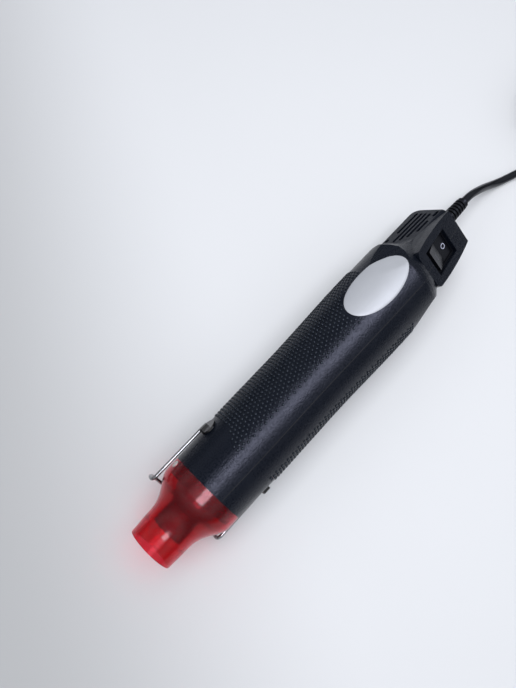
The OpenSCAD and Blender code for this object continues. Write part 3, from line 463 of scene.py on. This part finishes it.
nodeLooks = {
    "gripPlastic": ["housing_left", "housing_right"],
    "redGuard": ["nozzle_guard"],
    "screwSteel": ["guard_screws", "housing_screws", "motor_screws", "clamp_screws",
                   "thermal_cutout"],
    "glossBlack": ["stand_bushes"],
    "standSteel": ["wire_stand"],
    "nozzleSteel": ["heat_nozzle"],
    "micaSheet": ["mica_tube", "mica_former", "heat_shield"],
    "heaterAlloy": ["heater_wire"],
    "ceramicMoulding": ["front_spacer"],
    "paleMoulding": ["air_duct", "fan_impeller", "motor_cap"],
    "plugPlastic": ["motor_mount", "lead_clamp", "plug_body"],
    "motorSteel": ["motor_can", "motor_shaft"],
    "magnetFerrite": ["motor_magnets"],
    "windingCopper": ["motor_armature"],
    "boardLaminate": ["rectifier_board"],
    "componentBlack": ["diodes"],
    "filmCapacitor": ["capacitor"],
    "switchPlastic": ["switch_case", "switch_rocker"],
    "terminalBrass": ["switch_terminals"],
    "wireSleeve": ["inner_wires"],
    "reliefRubber": ["strain_relief"],
    "leadRubber": ["lead_end"],
    "tieWeave": ["coil_ties"],
    "pinMetal": ["plug_pins"],
}
for look, names in nodeLooks.items():
    for name in names:
        nodes[name].data.materials.clear()
        nodes[name].data.materials.append(materials[look])
mainsLead.data.materials.append(materials["leadRubber"])
print("materials placed on", sum(len(names) for names in nodeLooks.values()), "solids")


def meshPiece(name, points, faces, look, body):
    mesh = bpy.data.meshes.new(name)
    mesh.from_pydata([tuple(p) for p in points], [], faces)
    mesh.validate()
    obj = bpy.data.objects.new(name, mesh)
    bpy.context.scene.collection.objects.link(obj)
    mesh.materials.append(materials[look])
    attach(obj, body)
    return obj


def tidyMesh(obj, smoothAngle):
    work = bmesh.new()
    work.from_mesh(obj.data)
    bmesh.ops.remove_doubles(work, verts=work.verts, dist=1e-6)
    bmesh.ops.recalc_face_normals(work, faces=work.faces)
    work.to_mesh(obj.data)
    work.free()
    for p in obj.data.polygons:
        p.use_smooth = True
    obj.data.set_sharp_from_angle(angle=math.radians(smoothAngle))


def surfaceOf(names):
    points, faces = [], []
    for name in names:
        mesh = nodes[name].data
        base = len(points)
        points += [v.co.copy() for v in mesh.vertices]
        faces += [tuple(base + i for i in p.vertices) for p in mesh.polygons]
    return BVHTree.FromPolygons(points, faces)


housingSurface = surfaceOf(["housing_left", "housing_right"])
axisWay = Vector((1, 0, 0))
rayFrom = 60  # beyond the widest of the housing


# the housing's surface at a station and an angle round the axis: its point and outward normal
def housingAt(x, angle):
    centre = toWorld(x, 0, 0)
    way = (onBarrel(x, angle, 1) - centre).normalized()
    point, normal, _, _ = housingSurface.ray_cast(centre + way * rayFrom * mm, -way)
    if point is None:
        return None, None
    return point, normal if normal.dot(way) > 0 else -normal


# grip dots: raised rounded pips in a staggered net on both sides
gripSet = {
    "radius": 20.5,
    "pitchAlong": 1.8,
    "pitchRound": 2.1,
    "dotRadius": 0.74,
    "dotHigh": 0.46,
    "dotSides": 6,
    "dotRings": [(1, -0.1), (0.86, 0.55), (0.5, 0.92)],  # share of the radius, share of the height
    "frontX": 53,
    "rearX": 153.7,
    "stickerGap": 1.06,
    "left": {"angles": (-27, -152),
             "front": [(-20, 53.2), (-37, 54.5), (-56, 58.2), (-70, 59), (-160, 59)]},
    "right": {"angles": (36, 152),
              "front": [(30, 55), (56, 58.2), (70, 59), (160, 59)]},
}
stickerSet = {"centreX": 152.2, "centreAngle": -44.5, "halfLong": 19.6, "halfWide": 10.6, "radius": 21.0,
              "thick": 0.14, "rimShare": 0.992, "rimHigh": 0.6, "sunk": 0.25, "rings": 10, "sides": 72}


def frontEdge(pairs, angle):
    pairs = sorted(pairs)
    for (a0, x0), (a1, x1) in zip(pairs, pairs[1:]):
        if a0 <= angle <= a1:
            return x0 + (x1 - x0) * (angle - a0) / (a1 - a0)
    return pairs[0][1]


def insideSticker(x, angle, grow):
    s = stickerSet
    u = (x - s["centreX"]) / (s["halfLong"] * grow)
    v = math.radians(angle - s["centreAngle"]) * s["radius"] / (s["halfWide"] * grow)
    return u * u + v * v < 1


def addDots(name, side, s):
    points, faces = [], []
    low, high = side["angles"]
    step = math.degrees(s["pitchRound"] / s["radius"]) * (1 if high > low else -1)
    columns = int(abs(high - low) / abs(step))
    rows = int((s["rearX"] - s["frontX"]) / s["pitchAlong"])
    n = s["dotSides"]
    rim = [(math.cos(2 * math.pi * k / n), math.sin(2 * math.pi * k / n)) for k in range(n)]
    for i in range(rows + 1):
        x = s["rearX"] - i * s["pitchAlong"]
        for k in range(columns):
            angle = low + (k + 0.5 * (i % 2)) * step
            if x < frontEdge(side["front"], angle) or insideSticker(x, angle, s["stickerGap"]):
                continue
            at, normal = housingAt(x, angle)
            if at is None:
                continue
            across = axisWay.cross(normal).normalized()
            base = len(points)
            for grow, lift in s["dotRings"]:
                for u, v in rim:
                    points.append(at + (axisWay * u + across * v) * s["dotRadius"] * grow * mm
                                  + normal * s["dotHigh"] * lift * mm)
            points.append(at + normal * s["dotHigh"] * mm)
            for ring in range(len(s["dotRings"]) - 1):
                for j in range(n):
                    a, b = base + ring * n + j, base + ring * n + (j + 1) % n
                    faces.append((a, b, b + n, a + n))
            top = base + n * (len(s["dotRings"]) - 1)
            for j in range(n):
                faces.append((top + j, top + (j + 1) % n, top + n))
            faces.append(tuple(base + j for j in reversed(range(n))))
    dots = meshPiece(name, points, faces, "dotPlastic", "housing")
    for p in dots.data.polygons:
        p.use_smooth = len(p.vertices) < n  # all but the hidden base
    print(name, len(points) // (n * len(s["dotRings"]) + 1))


addDots("gripDotsLeft", gripSet["left"], gripSet)
addDots("gripDotsRight", gripSet["right"], gripSet)


# bare oval sticker: a thin foil with a rounded rim that follows the housing
def addSticker(s):
    points, faces = [], []
    rows = [(k / s["rings"], s["thick"]) for k in range(s["rings"] + 1)]
    rows[-1] = (s["rimShare"], s["thick"])
    rows += [(1.0, s["thick"] * s["rimHigh"]), (1.0, -s["sunk"])]
    for share, lift in rows:
        for k in range(s["sides"]):
            a = 2 * math.pi * k / s["sides"]
            x = s["centreX"] + s["halfLong"] * share * math.cos(a)
            across = s["halfWide"] * share * math.sin(a)
            at, normal = housingAt(x, s["centreAngle"] + math.degrees(across / s["radius"]))
            points.append(at + normal * lift * mm)
    n = s["sides"]
    for i in range(1, len(rows)):
        for k in range(n):
            a, b = (i - 1) * n + k, (i - 1) * n + (k + 1) % n
            faces.append((a, a + n, b + n, b))
    foil = meshPiece("bareSticker", points, faces, "stickerFoil", "housing")
    tidyMesh(foil, smoothAngle=50)
    print("sticker:", len(points), "points")


addSticker(stickerSet)

# the parting line of the two half shells: a fine dark line over the top and the underside, painted shade
# of the groove between them
seamSet = {"halfWide": 0.13, "lift": 0.012, "sunk": 0.2, "fromX": 35.3, "toX": 211.6, "step": 1.1,
           "aside": 0.4, "lowest": 7}


def addSeam(s):
    points, faces = [], []
    for angle in (0, 180):
        row = None
        x = s["fromX"]
        while x < s["toX"]:
            at, _ = housingAt(x, angle + s["aside"])
            centre = toWorld(x, 0, 0)
            side = (toWorld(x, 1, 0) - centre).normalized()
            up = (onBarrel(x, angle, 1) - centre).normalized()
            if at is None or (at - centre).dot(up) < s["lowest"] * mm:
                row = None  # an opening, such as the switch's
            else:
                flat = centre + up * (at - centre).dot(up)
                new = len(points)
                points.extend((flat + side * s["halfWide"] * mm + up * s["lift"] * mm,
                               flat - side * s["halfWide"] * mm + up * s["lift"] * mm,
                               flat - up * s["sunk"] * mm))
                if row is not None and (points[new] - points[row]).length < 3 * s["step"] * mm:
                    faces.append((row, row + 1, new + 1, new))
                    faces.append((row + 1, row + 2, new + 2, new + 1))
                    faces.append((row + 2, row, new, new + 2))
                row = new
            x += s["step"]
    line = meshPiece("partingLine", points, faces, "seamShade", "housing")
    tidyMesh(line, smoothAngle=30)


addSeam(seamSet)

# the ring and the bar of the rocker, printed on its two halves, the bar's print darkened as painted shade
# of its half; the panel and the rocker as in the solids
markSet = {
    "panelX": 176.188,
    "panelHigh": 17.2663,
    "slope": 15.7,
    "openingS": 15.81,
    "caseTop": 1.7,
    "pivotDeep": 4.6,
    "dip": 7.0,
    "rockerLong": 17.2,
    "endShare": 0.94,
    "topHigh": 5.2,
    "thick": 0.03,
    "sunk": 0.05,
    "stroke": 0.42,
    "ringS": 5.0,
    "ringHalf": (1.75, 1.35),
    "ringSides": 40,
    "barS": -4.4,
    "barHalf": (0.26, 1.7),
}


def onPanel(s, y, n):
    a = math.radians(markSet["slope"])
    return toWorld(markSet["panelX"] + s * math.cos(a) + n * math.sin(a), y,
                   markSet["panelHigh"] - s * math.sin(a) + n * math.cos(a))


def onRocker(u, y, lift):
    m = markSet
    fall = math.tan(math.radians(m["dip"])) * m["rockerLong"] * m["endShare"] / 2
    end = m["rockerLong"] / 2 * m["endShare"]
    high = m["topHigh"] - fall * (1 - abs(u) / end) + lift
    d = math.radians(m["dip"])
    return onPanel(m["openingS"] + u * math.cos(d) + high * math.sin(d), y,
                   -m["caseTop"] - m["pivotDeep"] - u * math.sin(d) + high * math.cos(d))


def addRing(m):
    points, faces, n = [], [], m["ringSides"]
    inner, top, low = -m["stroke"], m["thick"], -m["sunk"]
    for grow, lift in ((0, low), (0, top), (inner, top), (inner, low)):
        for k in range(n):
            a = 2 * math.pi * k / n
            points.append(onRocker(m["ringS"] + (m["ringHalf"][0] + grow) * math.cos(a),
                                   (m["ringHalf"][1] + grow) * math.sin(a), lift))
    for i in range(3):
        for k in range(n):
            a, b = i * n + k, i * n + (k + 1) % n
            faces.append((a, a + n, b + n, b))
    ring = meshPiece("offRing", points, faces, "markWhite", "rocker")
    tidyMesh(ring, smoothAngle=30)


def addBar(m):
    long, wide = m["barHalf"]
    points = [onRocker(m["barS"] + u * long, v * wide, lift)
              for lift in (-m["sunk"], m["thick"]) for u, v in ((-1, -1), (1, -1), (1, 1), (-1, 1))]
    faces = [(4, 5, 6, 7), (0, 1, 5, 4), (1, 2, 6, 5), (2, 3, 7, 6), (3, 0, 4, 7)]
    # the bar's colour is painted shade: the print darkened for the half in shade
    bar = meshPiece("onBar", points, faces, "markPaintedShade", "rocker")
    tidyMesh(bar, smoothAngle=30)


addRing(markSet)
addBar(markSet)
print("marks on the rocker")

# pale table, with a painted shade over part of it
floorSet = {"half": 3.0, "colour": (0.72, 0.733, 0.76), "shade": (0.46, 0.468, 0.48),
            "shadeFrom": 0.03, "shadeTo": 0.21, "shadeTilt": 0.5, "cloudScale": 3, "cloudShare": 0.985,
            "rough": 0.6, "specular": 0.2}


def addFloor(f):
    h = f["half"]
    mesh = bpy.data.meshes.new("tableTop")
    mesh.from_pydata([(-h, -h, 0), (h, -h, 0), (h, h, 0), (-h, h, 0)], [], [(0, 1, 2, 3)])
    floor = bpy.data.objects.new("tableTop", mesh)
    bpy.context.scene.collection.objects.link(floor)
    mat = bpy.data.materials.new("paleTable")
    mat.use_nodes = True
    tree = mat.node_tree
    shader = tree.nodes["Principled BSDF"]
    tone = addGroup(tree, toneGroup, {
        "Color": opaque(f["colour"]), "Worn": opaque([c * f["cloudShare"] for c in f["colour"]]),
        "Scale": f["cloudScale"], "Amount": 1.0})
    # the table's colour darkens to the lower left of the view: painted shade, standing in for light that
    # falls off there
    split = tree.nodes.new("ShaderNodeSeparateXYZ")
    tree.links.new(tree.nodes.new("ShaderNodeTexCoord").outputs["Object"], split.inputs[0])
    aslant = addMath(tree, "MULTIPLY", split.outputs["Y"], f["shadeTilt"])
    fade = tree.nodes.new("ShaderNodeMapRange")
    fade.interpolation_type = "SMOOTHSTEP"
    fade.inputs["From Min"].default_value = f["shadeFrom"]
    fade.inputs["From Max"].default_value = f["shadeTo"]
    tree.links.new(addMath(tree, "SUBTRACT", aslant, split.outputs["X"]), fade.inputs["Value"])
    blend = addBlend(tree, fade.outputs["Result"], tone.outputs["Color"], opaque(f["shade"]))
    tree.links.new(blend, shader.inputs["Base Color"])
    shader.inputs["Roughness"].default_value = f["rough"]
    shader.inputs["Specular IOR Level"].default_value = f["specular"]
    mesh.materials.append(mat)


addFloor(floorSet)

# lamps, in metres: the long window gives the gloss along the barrel, the soft ceiling light the rest
lightAim = Vector((0, 0, 0.02))
lightSet = [
    {"name": "windowKey", "at": (0.06, -0.13, 0.5), "long": (1, 0, 0), "size": (0.6, 0.2),
     "power": 4.2, "colour": (0.90, 0.91, 1.0), "diffuse": False, "glossy": True},
    {"name": "ceilingSoft", "at": (0.06, -0.02, 0.75), "long": (1, 0, 0), "size": (0.7, 0.7),
     "power": 5.2, "colour": (0.98, 0.985, 1.0), "diffuse": True, "glossy": False},
]
# the room's light by height: the sine of the height and the colour there
roomLight = {
    "strength": 0.9,
    "low": (0.2, (0.22, 0.23, 0.25)),
    "half": (0.6, (0.86, 0.875, 0.91)),
    "high": (0.95, (0.25, 0.26, 0.28)),
}


def addLights(lights):
    for item in lights:
        data = bpy.data.lights.new(item["name"], "AREA")
        data.shape = "RECTANGLE"
        data.size, data.size_y = item["size"]
        data.energy = item["power"]
        data.color = item["colour"]
        lamp = bpy.data.objects.new(item["name"], data)
        bpy.context.scene.collection.objects.link(lamp)
        lamp.location = item["at"]
        back = (lamp.location - lightAim).normalized()
        side = back.cross(Vector(item["long"])).normalized()
        lamp.matrix_world = Matrix.Translation(lamp.location) @ Matrix(
            (side.cross(back), side, back)).transposed().to_4x4()
        lamp.visible_diffuse = item["diffuse"]
        lamp.visible_glossy = item["glossy"]


# the room round the table: dim at the table's level and overhead, pale between
def addRoom(room):
    world = bpy.data.worlds.new("softRoom")
    world.use_nodes = True
    tree = world.node_tree
    back = tree.nodes["Background"]
    split = tree.nodes.new("ShaderNodeSeparateXYZ")
    tree.links.new(tree.nodes.new("ShaderNodeTexCoord").outputs["Generated"], split.inputs[0])
    ramp = tree.nodes.new("ShaderNodeValToRGB")
    for stop, label in zip(ramp.color_ramp.elements, ("low", "high")):
        stop.position = room[label][0]
        stop.color = opaque(room[label][1])
    ramp.color_ramp.elements.new(room["half"][0]).color = opaque(room["half"][1])
    tree.links.new(split.outputs["Z"], ramp.inputs["Fac"])
    tree.links.new(ramp.outputs["Color"], back.inputs["Color"])
    back.inputs["Strength"].default_value = room["strength"]
    bpy.context.scene.world = world


addLights(lightSet)
addRoom(roomLight)
bpy.context.scene.view_settings.view_transform = "Standard"
print("floor and light set")

bpy.context.view_layer.update()  # so that the lead's box is its final one
